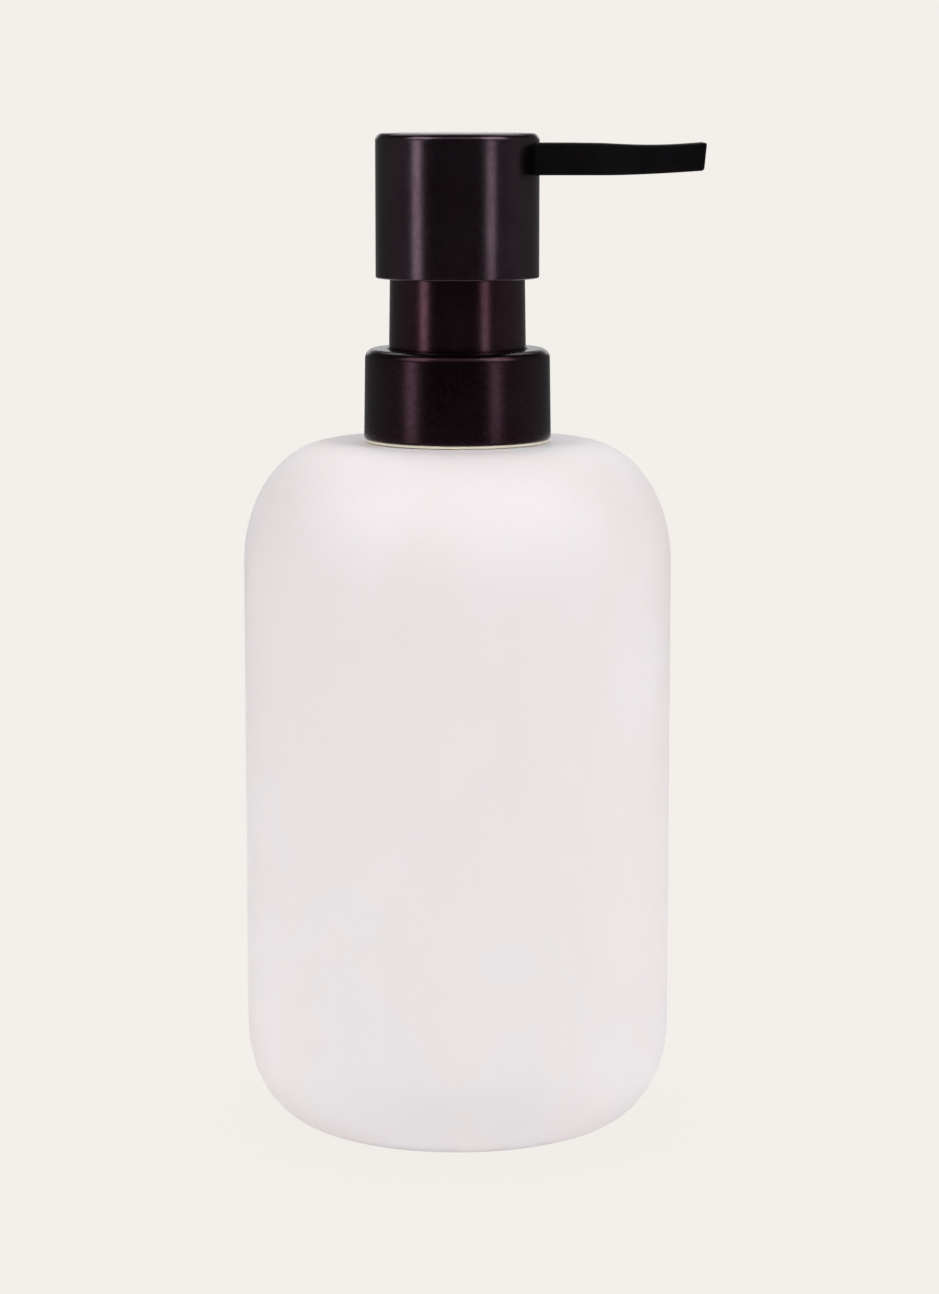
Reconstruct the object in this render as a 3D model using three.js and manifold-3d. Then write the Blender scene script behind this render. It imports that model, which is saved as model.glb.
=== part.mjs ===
// Soap pump dispenser: a cast stone-effect bottle with a 28 mm screw-on lotion pump.
// Millimetres, +Z up. The origin is the centre of the resting face; the spout points along +X.

import * as THREE from 'three'
import { mergeVertices } from 'three/addons/utils/BufferGeometryUtils.js'
import Module from 'manifold-3d'

const wasm = await Module()
wasm.setup()

// ---------------------------------------------------------------- driving dimensions

const GAP = 0.1            // bonded or seated faces are modelled this far apart
const EMBED = 0.5          // joined shapes run this far into each other
const PAST = 1             // cutting shapes run this far past what they cut
const SIDES = 32           // facets round the large turned pieces
const SMALL_SIDES = 24     // facets round the small ones

const bottle = {
  radius: 37.5,
  top: 121.5,
  shoulder: { across: 15.5, up: 21 },
  corner: { across: 12.5, up: 17.5 },
  wall: 6,
  topWall: 7,
  mouthRadius: 13.6,
  underside: 0.5,          // the pad holds the casting this far off the table
}

const plug = { radius: 21.7, ledgeRadius: 19.2, thickness: 3.2, spigot: 2.6 }
const pad = { radius: 21.3, thickness: 2, chamfer: 0.4 }
const foot = { openingRadius: 22, ledgeRadius: 19.5, ledgeHeight: 5.5, floor: 8.5 }

const thread = { pitch: 25.4 / 6, turns: 1, runOut: Math.PI / 7, leastHeight: 0.05, flankGap: 0.3 }
const neck = {
  skirtRadius: 13.3,
  skirtLength: 9.5,
  flangeRadius: 16.1,
  flange: 0.5,
  rootRadius: 12.6,
  crestRadius: 13.8,
  boreRadius: 9.9,
  top: bottle.top + 10.9,
  lead: 0.5,
  threadRise: 3.5,         // from the flange to the middle of the thread's start
}

const gasket = { thickness: 1.2, radius: 12.5 }
const seat = neck.top + GAP + gasket.thickness + GAP      // underside of the pump flange

const housing = {
  radius: 9.2,
  boreRadius: 8.2,
  flangeRadius: 12.6,
  flange: 1.4,
  floor: seat - 39.8,
  taper: 1,                // the barrel narrows from this far below its floor
  chamberRadius: 3.6,
  chamber: 4,
  cone: 2,
  inletRadius: 2,
  inlet: 2,
  socketRadius: 4.1,
  tailRadius: 5.4,
  tail: 7.5,
}
const deck = seat + housing.flange                        // top of the pump flange

const tube = { radius: 4, bore: 3, foot: 12, bevel: Math.PI / 5 }
const ball = { radius: 2.75 }
const retainer = {
  radius: 8,
  thickness: 1.5,
  hole: 2.2,
  slot: 1,
  slotReach: 3.4,
  rim: 1,
  rimInner: 5.4,
  rimOuter: 6.6,
}
const spring = {
  radius: 4.55,
  wire: 0.9,
  turns: 8,
  length: 22.1,
  closedPitch: 1.05,
  stepsPerTurn: 12,
  halfSides: 3,            // facets on half the wire's round section
}

const rod = {
  bossRadius: 3.9,
  boss: 4.2,
  bossLead: { across: 0.6, up: 0.8 },
  seatRadius: 6,
  seatThickness: 1.4,
  shaftRadius: 2.9,
  shankRadius: 2.35,
  shank: 7.6,
  coreRadius: 1.5,
  groove: 1.4,
  grooveRise: 1.6,         // from the valve seat to the foot of the grooves
}
const piston = {
  hubBore: 3.3,
  hubRadius: 4.6,
  hub: 5.1,
  web: 1.4,
  webFrom: 2.2,
  skirtInner: 7,
  skirtOuter: 7.7,
  skirt: 8,
  lip: 8.12,
  lipChamfer: 0.3,
}
const pistonFloat = 1.3                                   // room above the piston and under the stem
const stem = { radius: 4, bore: 2.5 }

const chaplet = {
  plugRadius: 8,
  plugBore: 4.9,
  waistRadius: 10.2,
  waist: 1.8,
  towerRadius: 11.3,
  towerBore: 9.9,
  guideRadius: 4.25,
  floor: 1.5,
  roof: 1.8,
  tower: 16.3,
}
const cap = { radius: 15.2, wallRadius: 14.1, crestRadius: 13, lipRadius: 10.6, lip: 1.5, skirt: 12.7 }
const collar = {
  bottom: bottle.top + 0.7,
  height: 15.6,
  bottomRadius: 16.35,
  topRadius: 16.12,
  inner: 15.4,
  edge: 1.2,
  roof: 0.7,
  holeRadius: 12.25,
}
const sleeve = { bottomRadius: 11.95, topRadius: 11.72, inner: 11.4, roof: 0.45, roofHole: 9.4, foot: 0.15 }

const head = { bottom: 150.05, height: 24.95, radius: 14.25, inner: 13.6, roof: 0.65, edge: 1 }
const headTop = head.bottom + head.height
const spout = {
  rootX: 8.4,
  tipTopX: 42.95,
  tipBottomX: 42.4,
  width: 10,
  bottom: 167.8,
  top: 173.2,
  tipBottom: 168.6,
  tipTop: 173.4,
  bottomBend: { x: 31, z: 167.8 },
  topBendStart: 25.7,
  topBend: { x: 35.5, z: 172.8 },
  edge: 0.35,
  boreRadius: 1.2,
  boreHeight: 170.8,
  clearance: 0.25,
}
const actuator = {
  radius: 13.3,
  rimInner: 12.2,
  rimBottom: 166,
  hubRadius: 6.2,
  hubBottom: 165,
  socketRadius: 4.1,
  socketTop: 169.5,
  passageRadius: 2.4,
  passageTop: 171.9,
  deck: 1.5,
  roofGap: 0.25,
  blockTo: 11.5,
  blockHalfWidth: 6.5,
  blockBottom: 166.8,
}

// ---------------------------------------------------------------- materials

const finish = {
  stone: { color: 0xece4e4, roughness: 0.42, metalness: 0 },
  plumMetal: { color: 0x3a2731, roughness: 0.36, metalness: 0.85 },
  blackPlastic: { color: 0x111012, roughness: 0.55, metalness: 0 },
  innerPlastic: { color: 0x1d1b1d, roughness: 0.5, metalness: 0 },
  creamPlastic: { color: 0xe9e0d2, roughness: 0.5, metalness: 0 },
  clearPlastic: { color: 0xe6e8ea, roughness: 0.35, metalness: 0 },
  foam: { color: 0xd8d4d2, roughness: 0.95, metalness: 0 },
  steel: { color: 0xb9bcc0, roughness: 0.3, metalness: 1 },
}

// ---------------------------------------------------------------- helpers

// Turns a profile of [radius, height] points round Z. Outer walls run up, inner walls run down.
function turned(profile, sides = SIDES) {
  const points = profile.map(([r, z]) => new THREE.Vector2(r, z))
  return new THREE.LatheGeometry(points, sides).rotateX(Math.PI / 2)
}

// The same for a ring, whose profile closes on itself.
function turnedRing(profile, sides = SIDES) {
  return turned([...profile, profile[0]], sides)
}

// Points along a quarter of an ellipse, between two angles in quarter turns.
function quarter(r, z, across, up, from, to, steps) {
  return Array.from({ length: steps + 1 }, (_, i) => {
    const angle = (from + (to - from) * i / steps) * Math.PI / 2
    return [r + across * Math.cos(angle), z + up * Math.sin(angle)]
  })
}

function box(x0, x1, y0, y1, z0, z1) {
  return new THREE.BoxGeometry(x1 - x0, y1 - y0, z1 - z0)
    .translate((x0 + x1) / 2, (y0 + y1) / 2, (z0 + z1) / 2)
}

// A closed geometry as a solid that can be joined and cut.
function solidOf(geometry) {
  const bare = geometry.clone()
  bare.deleteAttribute('normal')
  bare.deleteAttribute('uv')
  const merged = mergeVertices(bare, 1e-4)
  const corners = merged.index.array
  const triangles = []
  for (let i = 0; i < corners.length; i += 3) {
    const [a, b, c] = corners.slice(i, i + 3)
    if (a !== b && b !== c && c !== a) triangles.push(a, b, c)
  }
  return new wasm.Manifold(new wasm.Mesh({
    numProp: 3,
    vertProperties: Float32Array.from(merged.attributes.position.array),
    triVerts: Uint32Array.from(triangles),
  }))
}

function geometryOf(solid) {
  const mesh = solid.getMesh()
  const geometry = new THREE.BufferGeometry()
  geometry.setAttribute('position', new THREE.BufferAttribute(mesh.vertProperties, 3))
  geometry.setIndex(new THREE.BufferAttribute(mesh.triVerts, 1))
  geometry.computeVertexNormals()
  return geometry
}

function joined(first, ...others) {
  return geometryOf(others.reduce((solid, other) => solid.add(solidOf(other)), solidOf(first)))
}

function cut(first, ...tools) {
  return geometryOf(tools.reduce((solid, tool) => solid.subtract(solidOf(tool)), solidOf(first)))
}

// One helical rib: a straight extrusion of its section, wound round Z with a faded start and end.
// The section is [radius, half height] at the wall it grows from and at its crest.
function threadRib(rootRadius, rootHalf, crestRadius, crestHalf, startAngle, startHeight) {
  const section = new THREE.Shape([
    new THREE.Vector2(rootRadius, -rootHalf),
    new THREE.Vector2(crestRadius, -crestHalf),
    new THREE.Vector2(crestRadius, crestHalf),
    new THREE.Vector2(rootRadius, rootHalf),
  ])
  const sweep = thread.turns * 2 * Math.PI
  const steps = Math.round(thread.turns * SIDES)
  const rib = new THREE.ExtrudeGeometry(section, { depth: sweep, steps, bevelEnabled: false })
  const place = rib.attributes.position
  for (let i = 0; i < place.count; i++) {
    const along = place.getZ(i)
    const fade = Math.min(1, along / thread.runOut, (sweep - along) / thread.runOut)
    const radius = rootRadius + (place.getX(i) - rootRadius) * Math.max(fade, thread.leastHeight)
    const angle = startAngle + along
    const height = startHeight - place.getY(i) + thread.pitch * along / (2 * Math.PI)
    place.setXYZ(i, radius * Math.cos(angle), radius * Math.sin(angle), height)
  }
  return rib
}

function piece(name, geometry, material) {
  const mesh = new THREE.Mesh(geometry, new THREE.MeshStandardMaterial(material))
  mesh.name = name
  return mesh
}

// ---------------------------------------------------------------- bottle

function bottleBody() {
  const { radius, top, shoulder, corner, wall, topWall, mouthRadius, underside } = bottle
  const shoulderRadius = radius - shoulder.across
  const shoulderBase = top - shoulder.up
  const cornerRadius = radius - corner.across
  const cornerTop = underside + corner.up
  return turnedRing([
    [foot.openingRadius, underside],
    ...quarter(cornerRadius, cornerTop, corner.across, corner.up, -1, 0, 7),
    ...quarter(shoulderRadius, shoulderBase, shoulder.across, shoulder.up, 0, 1, 8),
    [mouthRadius, top],
    [mouthRadius, top - topWall],
    ...quarter(shoulderRadius, shoulderBase, shoulder.across - wall, shoulder.up - topWall, 1, 0, 4),
    ...quarter(cornerRadius, cornerTop, corner.across - wall, cornerTop - foot.floor, 0, -1, 4),
    [foot.ledgeRadius, foot.floor],
    [foot.ledgeRadius, foot.ledgeHeight],
    [foot.openingRadius, foot.ledgeHeight],
  ])
}

// Stepped disc bonded up into the underside of the casting.
function basePlug() {
  const bottom = foot.ledgeHeight - GAP - plug.thickness
  const step = foot.ledgeHeight - GAP
  return turned([
    [0, bottom],
    [plug.radius, bottom],
    [plug.radius, step],
    [plug.ledgeRadius, step],
    [plug.ledgeRadius, step + plug.spigot],
    [0, step + plug.spigot],
  ])
}

function basePad() {
  return turned([
    [0, 0],
    [pad.radius - pad.chamfer, 0],
    [pad.radius, pad.chamfer],
    [pad.radius, pad.thickness],
    [0, pad.thickness],
  ])
}

const neckThreadStart = bottle.top + GAP + neck.flange + neck.threadRise
const neckRib = { rootHalf: 1, crestHalf: 0.45 }
const capRib = { rootHalf: 1, crestHalf: 0.4 }

function neckInsert() {
  const flangeBottom = bottle.top + GAP
  const flangeTop = flangeBottom + neck.flange
  const bush = turnedRing([
    [neck.boreRadius, bottle.top - neck.skirtLength],
    [neck.skirtRadius, bottle.top - neck.skirtLength],
    [neck.skirtRadius, flangeBottom],
    [neck.flangeRadius, flangeBottom],
    [neck.flangeRadius, flangeTop],
    [neck.rootRadius, flangeTop],
    [neck.rootRadius, neck.top - neck.lead],
    [neck.rootRadius - neck.lead, neck.top],
    [neck.boreRadius, neck.top],
  ])
  const embedded = neck.rootRadius - EMBED
  return joined(
    bush,
    threadRib(embedded, neckRib.rootHalf, neck.crestRadius, neckRib.crestHalf, 0, neckThreadStart),
  )
}

// ---------------------------------------------------------------- closure

function closureCap() {
  const bottom = deck + GAP - cap.skirt
  const lipBottom = deck + 2 * GAP
  const shell = turnedRing([
    [cap.wallRadius, bottom],
    [cap.radius, bottom],
    [cap.radius, lipBottom + cap.lip],
    [cap.lipRadius, lipBottom + cap.lip],
    [cap.lipRadius, lipBottom],
    [cap.wallRadius, lipBottom],
  ])
  // Tightened, this rib pulls up against the underside of the neck's rib.
  const below = neckRib.crestHalf + capRib.rootHalf + thread.flankGap
  const startAngle = Math.PI / 2
  const startHeight = neckThreadStart - below + thread.pitch * startAngle / (2 * Math.PI)
  const embedded = cap.wallRadius + EMBED
  return joined(
    shell,
    threadRib(embedded, capRib.rootHalf, cap.crestRadius, capRib.crestHalf, startAngle, startHeight),
  )
}

function collarShell() {
  const { bottom, height, bottomRadius, topRadius, inner, edge, roof, holeRadius } = collar
  const top = bottom + height
  return turnedRing([
    [inner, bottom],
    [bottomRadius, bottom],
    ...quarter(topRadius - edge, top - edge, edge, edge, 0, 1, 3),
    [holeRadius, top],
    [holeRadius, top - roof],
    [inner, top - roof],
  ])
}

// ---------------------------------------------------------------- pump

function neckGasket() {
  const bottom = neck.top + GAP
  return turnedRing([
    [neck.boreRadius, bottom],
    [gasket.radius, bottom],
    [gasket.radius, bottom + gasket.thickness],
    [neck.boreRadius, bottom + gasket.thickness],
  ])
}

const coneTop = housing.floor - housing.chamber
const coneBottom = coneTop - housing.cone
const socketTop = coneBottom - housing.inlet
const tailBottom = socketTop - housing.tail

function pumpHousing() {
  return turnedRing([
    [housing.socketRadius, tailBottom],
    [housing.tailRadius, tailBottom],
    [housing.tailRadius, coneBottom],
    [housing.radius, housing.floor - housing.taper],
    [housing.radius, seat],
    [housing.flangeRadius, seat],
    [housing.flangeRadius, deck],
    [housing.boreRadius, deck],
    [housing.boreRadius, housing.floor],
    [housing.chamberRadius, housing.floor],
    [housing.chamberRadius, coneTop],
    [housing.inletRadius, coneBottom],
    [housing.inletRadius, socketTop],
    [housing.socketRadius, socketTop],
  ], SMALL_SIDES)
}

// Plain tube with its foot cut at a slant, so that it can't seal against the floor.
function dipTube() {
  const top = socketTop - 2 * GAP
  const plain = turnedRing([
    [tube.bore, tube.foot],
    [tube.radius, tube.foot],
    [tube.radius, top],
    [tube.bore, top],
  ], SMALL_SIDES)
  const size = 8 * tube.radius
  const slant = new THREE.BoxGeometry(size, size, size)
    .translate(0, 0, -size / 2)
    .rotateY(tube.bevel)
    .translate(-tube.radius, 0, tube.foot)
  return cut(plain, slant.translate(0, 0, 2 * tube.radius * Math.tan(tube.bevel)))
}

const seatDiscBottom = housing.floor + GAP

function ballRetainer() {
  const top = seatDiscBottom + retainer.thickness
  const disc = turnedRing([
    [retainer.hole, seatDiscBottom],
    [retainer.radius, seatDiscBottom],
    [retainer.radius, top],
    [retainer.rimOuter, top],
    [retainer.rimOuter, top + retainer.rim],
    [retainer.rimInner, top + retainer.rim],
    [retainer.rimInner, top],
    [retainer.hole, top],
  ], SMALL_SIDES)
  const reach = retainer.slotReach
  const half = retainer.slot / 2
  return cut(
    disc,
    box(-reach, reach, -half, half, seatDiscBottom - PAST, top + PAST),
    box(-half, half, -reach, reach, seatDiscBottom - PAST, top + PAST),
  )
}

// The ball rests on the cone, which touches it where the cone's normal passes through its centre.
function checkBall() {
  const widening = (housing.chamberRadius - housing.inletRadius) / housing.cone
  const slant = Math.hypot(1, widening)
  const rise = (ball.radius * slant - housing.inletRadius) / widening
  return new THREE.SphereGeometry(ball.radius, 20, 12)
    .rotateX(Math.PI / 2)
    .translate(0, 0, coneBottom + rise + GAP)
}

const springFoot = seatDiscBottom + retainer.thickness + GAP
const rodSeatBottom = springFoot + spring.length + GAP

class SpringPath extends THREE.Curve {
  // Closed end coils, with the rest of the length shared by the open coils between them.
  getPoint(t, target = new THREE.Vector3()) {
    const { radius, wire, turns, closedPitch, length } = spring
    const turn = t * turns
    const openPitch = (length - wire - 2 * closedPitch) / (turns - 2)
    const closedBelow = Math.min(turn, 1)
    const closedAbove = Math.max(turn - (turns - 1), 0)
    const open = turn - closedBelow - closedAbove
    const angle = 2 * Math.PI * turn
    return target.set(
      radius * Math.cos(angle),
      radius * Math.sin(angle),
      springFoot + wire / 2 + closedPitch * (closedBelow + closedAbove) + openPitch * open,
    )
  }
}

function returnSpring() {
  const wire = new THREE.Shape()
  wire.absarc(0, 0, spring.wire / 2, 0, 2 * Math.PI)
  return new THREE.ExtrudeGeometry(wire, {
    steps: spring.turns * spring.stepsPerTurn,
    curveSegments: spring.halfSides,
    bevelEnabled: false,
    extrudePath: new SpringPath(),
  })
}

const rodSeatTop = rodSeatBottom + rod.seatThickness
const pistonBottom = rodSeatTop + GAP
const hubTop = pistonBottom + piston.hub
const skirtTop = pistonBottom + piston.skirt
const stemBottom = hubTop + pistonFloat
const shaftTop = stemBottom - GAP
const shankTop = shaftTop + rod.shank

// The spring's push rod: a boss in the spring, the valve seat, and a grooved shank up the stem.
function valveRod() {
  const bottom = rodSeatBottom - rod.boss
  const solid = turned([
    [0, bottom],
    [rod.bossRadius - rod.bossLead.across, bottom],
    [rod.bossRadius, bottom + rod.bossLead.up],
    [rod.bossRadius, rodSeatBottom],
    [rod.seatRadius, rodSeatBottom],
    [rod.seatRadius, rodSeatTop],
    [rod.shaftRadius, rodSeatTop],
    [rod.shaftRadius, shaftTop],
    [rod.shankRadius, shaftTop],
    [rod.shankRadius, shankTop],
    [0, shankTop],
  ], SMALL_SIDES)
  const half = rod.groove / 2
  const grooveFoot = rodSeatTop + rod.grooveRise
  const grooves = [0, 1, 2, 3].map(k => (
    box(rod.coreRadius, rod.seatRadius, -half, half, grooveFoot, shankTop + PAST).rotateZ(k * Math.PI / 2)
  ))
  return cut(solid, ...grooves)
}

function pistonSeal() {
  const { hubBore, hubRadius, web, webFrom, skirtInner, skirtOuter, lip, lipChamfer } = piston
  const webBottom = pistonBottom + webFrom
  return turnedRing([
    [skirtInner, pistonBottom],
    [skirtOuter - lipChamfer, pistonBottom],
    [lip, pistonBottom + lipChamfer],
    [lip, pistonBottom + 3 * lipChamfer],
    [skirtOuter, webBottom],
    [skirtOuter, skirtTop - webFrom],
    [lip, skirtTop - 3 * lipChamfer],
    [lip, skirtTop - lipChamfer],
    [skirtOuter - lipChamfer, skirtTop],
    [skirtInner, skirtTop],
    [skirtInner, webBottom + web],
    [hubRadius, webBottom + web],
    [hubRadius, hubTop],
    [hubBore, hubTop],
    [hubBore, pistonBottom],
    [hubRadius, pistonBottom],
    [hubRadius, webBottom],
    [skirtInner, webBottom],
  ], SMALL_SIDES)
}

// Retainer: a plug in the housing, a waist through the closure and a tower that guides the stem.
function chapletTower() {
  const plugBottom = skirtTop + pistonFloat
  const waistBottom = deck + GAP
  const towerBottom = waistBottom + chaplet.waist
  const towerTop = towerBottom + chaplet.tower
  return turnedRing([
    [chaplet.plugBore, plugBottom],
    [chaplet.plugRadius, plugBottom],
    [chaplet.plugRadius, waistBottom],
    [chaplet.waistRadius, waistBottom],
    [chaplet.waistRadius, towerBottom],
    [chaplet.towerRadius, towerBottom],
    [chaplet.towerRadius, towerTop],
    [chaplet.guideRadius, towerTop],
    [chaplet.guideRadius, towerTop - chaplet.roof],
    [chaplet.towerBore, towerTop - chaplet.roof],
    [chaplet.towerBore, towerBottom + chaplet.floor],
    [chaplet.plugBore, towerBottom + chaplet.floor],
  ], SMALL_SIDES)
}

function sleeveShell() {
  const bottom = deck + GAP + chaplet.waist + sleeve.foot
  const roofBottom = deck + GAP + chaplet.waist + chaplet.tower + GAP
  const top = roofBottom + sleeve.roof
  return turnedRing([
    [sleeve.inner, bottom],
    [sleeve.bottomRadius, bottom],
    [sleeve.topRadius, top],
    [sleeve.roofHole, top],
    [sleeve.roofHole, roofBottom],
    [sleeve.inner, roofBottom],
  ])
}

// ---------------------------------------------------------------- head

function stemTube() {
  const top = actuator.socketTop - 2 * GAP
  return turnedRing([
    [stem.bore, stemBottom],
    [stem.radius, stemBottom],
    [stem.radius, top],
    [stem.bore, top],
  ], SMALL_SIDES)
}

// A bore along +X at the height of the spout's passage.
function passage(from, to) {
  const length = to - from
  return new THREE.CylinderGeometry(spout.boreRadius, spout.boreRadius, length, 16)
    .rotateZ(Math.PI / 2)
    .translate((from + to) / 2, 0, spout.boreHeight)
}

function actuatorCore() {
  const top = headTop - head.roof - actuator.roofGap
  const core = turned([
    [0, actuator.passageTop],
    [actuator.passageRadius, actuator.passageTop],
    [actuator.passageRadius, actuator.socketTop],
    [actuator.socketRadius, actuator.socketTop],
    [actuator.socketRadius, actuator.hubBottom],
    [actuator.hubRadius, actuator.hubBottom],
    [actuator.hubRadius, top - actuator.deck],
    [actuator.rimInner, top - actuator.deck],
    [actuator.rimInner, actuator.rimBottom],
    [actuator.radius, actuator.rimBottom],
    [actuator.radius, top],
    [0, top],
  ])
  const socketHalf = spout.width / 2 + spout.clearance
  const block = box(
    actuator.hubRadius - EMBED, actuator.blockTo,
    -actuator.blockHalfWidth, actuator.blockHalfWidth,
    actuator.blockBottom, top - actuator.deck + EMBED,
  )
  const socket = box(
    spout.rootX - spout.clearance, head.radius + PAST,
    -socketHalf, socketHalf,
    spout.bottom - spout.clearance, spout.top + spout.clearance,
  )
  return cut(joined(core, block), socket, passage(0, spout.rootX))
}

function headShell() {
  const { bottom, radius, inner, roof, edge } = head
  const cup = turned([
    [0, headTop - roof],
    [inner, headTop - roof],
    [inner, bottom],
    [radius, bottom],
    ...quarter(radius - edge, headTop - edge, edge, edge, 0, 1, 3),
    [0, headTop],
  ])
  const half = spout.width / 2 + spout.clearance
  return cut(cup, box(
    inner / 2, radius + PAST,
    -half, half,
    spout.bottom - spout.clearance, spout.top + spout.clearance,
  ))
}

// A flat bar with a slanted end, whose upper edge dips and then lifts towards the tip.
function spoutBar() {
  const side = new THREE.Shape()
  side.moveTo(spout.rootX, spout.bottom)
  side.quadraticCurveTo(spout.bottomBend.x, spout.bottomBend.z, spout.tipBottomX, spout.tipBottom)
  side.lineTo(spout.tipTopX, spout.tipTop)
  side.quadraticCurveTo(spout.topBend.x, spout.topBend.z, spout.topBendStart, spout.top)
  side.lineTo(spout.rootX, spout.top)
  side.closePath()
  const bar = new THREE.ExtrudeGeometry(side, {
    depth: spout.width - 2 * spout.edge,
    curveSegments: 6,
    bevelThickness: spout.edge,
    bevelSize: spout.edge,
    bevelOffset: -spout.edge,
    bevelSegments: 2,
  })
  bar.rotateX(Math.PI / 2).translate(0, spout.width / 2 - spout.edge, 0)
  return cut(bar, passage(0, spout.tipTopX + PAST))
}

// ---------------------------------------------------------------- assembly

const bottleGroup = new THREE.Group().add(
  piece('bottle_body', bottleBody(), finish.stone),
  piece('base_plug', basePlug(), finish.stone),
  piece('base_pad', basePad(), finish.foam),
  piece('neck_insert', neckInsert(), finish.creamPlastic),
)

const closureGroup = new THREE.Group().add(
  piece('closure_cap', closureCap(), finish.innerPlastic),
  piece('collar_shell', collarShell(), finish.plumMetal),
)

const pumpGroup = new THREE.Group().add(
  piece('neck_gasket', neckGasket(), finish.foam),
  piece('pump_housing', pumpHousing(), finish.clearPlastic),
  piece('chaplet', chapletTower(), finish.innerPlastic),
  piece('sleeve_shell', sleeveShell(), finish.plumMetal),
  piece('dip_tube', dipTube(), finish.clearPlastic),
  piece('ball_retainer', ballRetainer(), finish.clearPlastic),
  piece('check_ball', checkBall(), finish.steel),
  piece('return_spring', returnSpring(), finish.steel),
)

const headGroup = new THREE.Group().add(
  piece('valve_rod', valveRod(), finish.clearPlastic),
  piece('piston', pistonSeal(), finish.clearPlastic),
  piece('stem', stemTube(), finish.innerPlastic),
  piece('actuator', actuatorCore(), finish.innerPlastic),
  piece('head_shell', headShell(), finish.plumMetal),
  piece('spout', spoutBar(), finish.blackPlastic),
)

const dispenser = new THREE.Group().add(bottleGroup, closureGroup, pumpGroup, headGroup)

export default dispenser
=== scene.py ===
"""Soap pump dispenser: the looks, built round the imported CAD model. Metres, +Z up, spout along +X."""

import math

import bmesh
import bpy
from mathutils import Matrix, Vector

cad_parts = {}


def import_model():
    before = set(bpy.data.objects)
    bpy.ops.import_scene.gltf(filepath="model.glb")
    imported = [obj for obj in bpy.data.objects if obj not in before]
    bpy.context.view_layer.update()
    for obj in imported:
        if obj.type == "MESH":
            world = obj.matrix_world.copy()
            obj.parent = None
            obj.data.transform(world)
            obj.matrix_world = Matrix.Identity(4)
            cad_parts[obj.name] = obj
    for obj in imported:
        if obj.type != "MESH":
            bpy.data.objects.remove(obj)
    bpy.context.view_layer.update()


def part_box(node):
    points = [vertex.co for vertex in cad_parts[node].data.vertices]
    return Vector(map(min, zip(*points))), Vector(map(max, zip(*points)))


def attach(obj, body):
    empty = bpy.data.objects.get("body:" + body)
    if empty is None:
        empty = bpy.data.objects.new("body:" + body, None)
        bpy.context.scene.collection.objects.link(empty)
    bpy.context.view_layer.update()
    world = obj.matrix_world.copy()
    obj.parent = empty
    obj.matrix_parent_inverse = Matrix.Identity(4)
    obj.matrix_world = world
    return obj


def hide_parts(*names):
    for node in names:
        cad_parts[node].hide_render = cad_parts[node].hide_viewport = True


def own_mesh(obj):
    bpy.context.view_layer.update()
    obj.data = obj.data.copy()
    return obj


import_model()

MM = 0.001
SAME = 1e-6                    # lengths closer than this are the same
GAP = 0.1 * MM                 # bonded or seated faces are this far apart
FINE = 160                     # sides of the large turned pieces
THREADED = 128                 # sides of the two with a screw thread
MEDIUM = 96                    # sides of the small ones
ARC_STEP = math.radians(12)    # the most that a fillet turns between two points


# ---------------------------------------------------------------- measures read from the frame

def radius_of(node):
    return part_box(node)[1].y


def bottom_of(node):
    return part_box(node)[0].z


def top_of(node):
    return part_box(node)[1].z


# ---------------------------------------------------------------- mesh helpers

def same(a, b):
    return abs(a - b) < SAME


def angles_round(sides):
    return [2 * math.pi * k / sides for k in range(sides)]


def skin(bm, rings):
    """Faces from each ring of vertices to the next, and one across each end."""
    for lower, upper in zip(rings, rings[1:]):
        for k in range(len(lower)):
            n = (k + 1) % len(lower)
            bm.faces.new([lower[k], lower[n], upper[n], upper[k]])
    bm.faces.new(rings[0])
    bm.faces.new(rings[-1])


def mesh_object(name, bm):
    bmesh.ops.recalc_face_normals(bm, faces=bm.faces)
    mesh = bpy.data.meshes.new(name)
    bm.to_mesh(mesh)
    bm.free()
    obj = bpy.data.objects.new(name, mesh)
    bpy.context.scene.collection.objects.link(obj)
    smooth(obj)
    return obj


def smooth(obj, angle=35):
    obj.data.shade_smooth()
    obj.data.set_sharp_from_angle(angle=math.radians(angle))


def filleted(corners):
    """The points of a closed profile of (radius, height, fillet) corners. A corner may have no fillet."""
    count = len(corners)
    points = []
    for i, (r, z, *rest) in enumerate(corners):
        fillet = rest[0] if rest else 0
        here = Vector((r, z))
        if not fillet:
            points.append((r, z))
            continue
        before = Vector(corners[i - 1][:2]) - here
        after = Vector(corners[(i + 1) % count][:2]) - here
        half = before.angle(after) / 2
        reach = fillet / math.tan(half)
        centre = here + (before.normalized() + after.normalized()).normalized() * fillet / math.sin(half)
        start = here + before.normalized() * reach - centre
        turn = start.angle_signed(here + after.normalized() * reach - centre)
        steps = max(2, math.ceil(abs(turn) / ARC_STEP))
        for k in range(steps + 1):
            a = -turn * k / steps
            points.append((
                centre.x + start.x * math.cos(a) - start.y * math.sin(a),
                centre.y + start.x * math.sin(a) + start.y * math.cos(a),
            ))
    return points


def corner_run(*corners):
    """The filleted points between the first and last corner, which only give the run its directions."""
    return filleted(corners)[1:-1]


def quarter(r, z, across, up, start, end, steps):
    """Points on an ellipse's quarter, between two angles counted in quarter turns."""
    angles = [(start + (end - start) * k / steps) * math.pi / 2 for k in range(steps + 1)]
    return [(r + across * math.cos(a), z + up * math.sin(a)) for a in angles]


def stretch(r, z0, z1, step):
    """Points up or down a straight wall, close enough together to carry relief."""
    count = max(1, round(abs(z1 - z0) / step))
    return [(r, z0 + (z1 - z0) * k / count) for k in range(count + 1)]


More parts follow.
